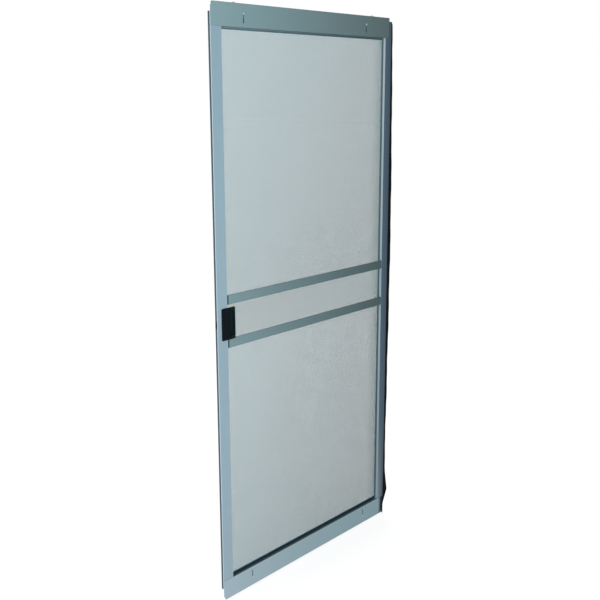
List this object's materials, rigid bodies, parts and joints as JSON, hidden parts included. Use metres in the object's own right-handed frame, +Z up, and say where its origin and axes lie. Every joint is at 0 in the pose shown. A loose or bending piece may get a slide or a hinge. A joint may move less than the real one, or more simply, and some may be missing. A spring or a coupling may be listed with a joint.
{
  "type": "sliding screen door",
  "caption": "Sliding insect screen door: steel frame with crossbars, taut mesh, black pull and hook latch, bug strip and height-adjustable rollers.",
  "frame": {"origin": "middle of the bottom rail's lower edge, on the rail's flat back face, which stands against the upright of the track", "axes": "+X along the width, from the latch stile with the pull to the rear stile with the bug strip; +Y from the front (outer) face to the back; +Z up"},
  "size_m": [0.9419, 0.0293, 2.0145],
  "materials": {
    "painted_steel": "satin",
    "screen_mesh": "matt",
    "black_vinyl": "satin",
    "pull_plastic": "satin",
    "black_plastic": "matt",
    "latch_steel": "satin",
    "plated_steel": "satin",
    "roller_plastic": "matt",
    "wheel_nylon": "satin"
  },
  "bodies": {
    "frame": {"top_rail": "painted_steel", "bottom_rail": "painted_steel", "latch_stile": "painted_steel", "rear_stile": "painted_steel", "rear_stile_foot": "painted_steel", "rear_stile_head": "painted_steel", "upper_crossbar": "painted_steel", "lower_crossbar": "painted_steel", "upper_crossbar_left_clip": "black_plastic", "upper_crossbar_right_clip": "black_plastic", "lower_crossbar_left_clip": "black_plastic", "lower_crossbar_right_clip": "black_plastic", "screen_cloth": "screen_mesh", "top_spline": "black_vinyl", "bottom_spline": "black_vinyl", "left_spline": "black_vinyl", "right_spline": "black_vinyl", "bug_strip": "black_vinyl", "bug_strip_foot": "black_vinyl", "front_pull": "pull_plastic", "back_pull": "pull_plastic", "upper_pull_screw": "plated_steel", "lower_pull_screw": "plated_steel", "latch_case": "black_plastic"},
    "latch": {"latch_hook": "latch_steel", "latch_pin": "plated_steel", "thumb_lever": "pull_plastic"},
    "bottom_left_roller": {"bottom_left_carrier": "roller_plastic", "bottom_left_axle": "plated_steel", "bottom_left_clamp_screw": "plated_steel"},
    "bottom_left_wheel_body": {"bottom_left_wheel": "wheel_nylon"},
    "bottom_right_roller": {"bottom_right_carrier": "roller_plastic", "bottom_right_axle": "plated_steel", "bottom_right_clamp_screw": "plated_steel"},
    "bottom_right_wheel_body": {"bottom_right_wheel": "wheel_nylon"},
    "top_left_roller": {"top_left_carrier": "roller_plastic", "top_left_axle": "plated_steel", "top_left_clamp_screw": "plated_steel"},
    "top_left_wheel_body": {"top_left_wheel": "wheel_nylon"},
    "top_right_roller": {"top_right_carrier": "roller_plastic", "top_right_axle": "plated_steel", "top_right_clamp_screw": "plated_steel"},
    "top_right_wheel_body": {"top_right_wheel": "wheel_nylon"}
  },
  "joints": [
    {"name": "latch_turn", "type": "hinge", "parent": "frame", "child": "latch", "pos_m": [-0.427, -0.00475, 0.978], "axis": [0, -1, 0], "range_deg": [0, 50]},
    {"name": "bottom_left_height", "type": "slide", "parent": "frame", "child": "bottom_left_roller", "axis": [0, 0, 1], "range_m": [0, 0.022]},
    {"name": "bottom_left_wheel_spin", "type": "hinge", "parent": "bottom_left_roller", "child": "bottom_left_wheel_body", "pos_m": [-0.353, -0.00475, 0.0085], "axis": [0, 1, 0], "continuous": true},
    {"name": "bottom_right_height", "type": "slide", "parent": "frame", "child": "bottom_right_roller", "axis": [0, 0, 1], "range_m": [0, 0.022]},
    {"name": "bottom_right_wheel_spin", "type": "hinge", "parent": "bottom_right_roller", "child": "bottom_right_wheel_body", "pos_m": [0.36, -0.00475, 0.0085], "axis": [0, 1, 0], "continuous": true},
    {"name": "top_left_height", "type": "slide", "parent": "frame", "child": "top_left_roller", "axis": [0, 0, -1], "range_m": [0, 0.022]},
    {"name": "top_left_wheel_spin", "type": "hinge", "parent": "top_left_roller", "child": "top_left_wheel_body", "pos_m": [-0.353, -0.00475, 1.9945], "axis": [0, 1, 0], "continuous": true},
    {"name": "top_right_height", "type": "slide", "parent": "frame", "child": "top_right_roller", "axis": [0, 0, -1], "range_m": [0, 0.022]},
    {"name": "top_right_wheel_spin", "type": "hinge", "parent": "top_right_roller", "child": "top_right_wheel_body", "pos_m": [0.342, -0.00475, 1.9945], "axis": [0, 1, 0], "continuous": true}
  ]
}
